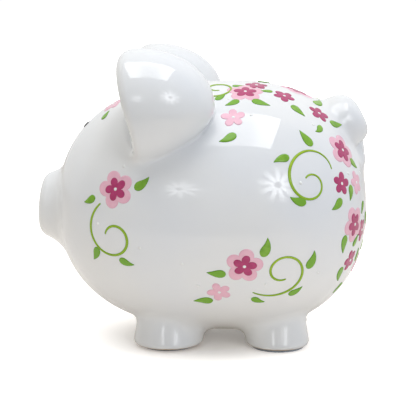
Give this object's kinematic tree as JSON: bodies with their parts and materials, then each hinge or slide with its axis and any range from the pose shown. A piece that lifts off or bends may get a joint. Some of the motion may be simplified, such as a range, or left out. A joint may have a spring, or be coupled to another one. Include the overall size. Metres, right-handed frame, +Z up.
{
  "type": "piggy bank",
  "caption": "Round white glazed ceramic pig-shaped coin bank with cupped ears, painted flowers, a coin slot on the back and a pull-out rubber stopper in the belly.",
  "frame": {"origin": "on the table under the middle of the bank's bounding box", "axes": "+Z up, +X from the snout to the tail, so the snout points along -X; -Y is the pig's own left side"},
  "size_m": [0.2152, 0.1818, 0.1916],
  "materials": {
    "glaze_white": "clear gloss glaze over white slip-cast earthenware",
    "rubber_white": "matt moulded soft rubber",
    "felt_grey": "pressed wool felt",
    "enamel_pink": "raised gloss enamel, pale pink",
    "enamel_rose": "raised gloss enamel, deep rose",
    "enamel_green": "raised gloss enamel, leaf green",
    "enamel_lime": "raised gloss enamel, lime green",
    "enamel_white": "raised gloss enamel, white",
    "enamel_dark": "raised gloss enamel, near black"
  },
  "bodies": {
    "bank": {"body": "glaze_white", "left_ear": "glaze_white", "right_ear": "glaze_white", "tail": "glaze_white", "front_left_leg": "glaze_white", "front_right_leg": "glaze_white", "rear_left_leg": "glaze_white", "rear_right_leg": "glaze_white", "front_left_pad": "felt_grey", "front_right_pad": "felt_grey", "rear_left_pad": "felt_grey", "rear_right_pad": "felt_grey"},
    "stopper": {"belly_stopper": "rubber_white"}
  },
  "joints": [
    {"name": "stopper_pull", "type": "slide", "parent": "bank", "child": "stopper", "axis": [0, 0, -1], "range_m": [0, 0.03]}
  ]
}
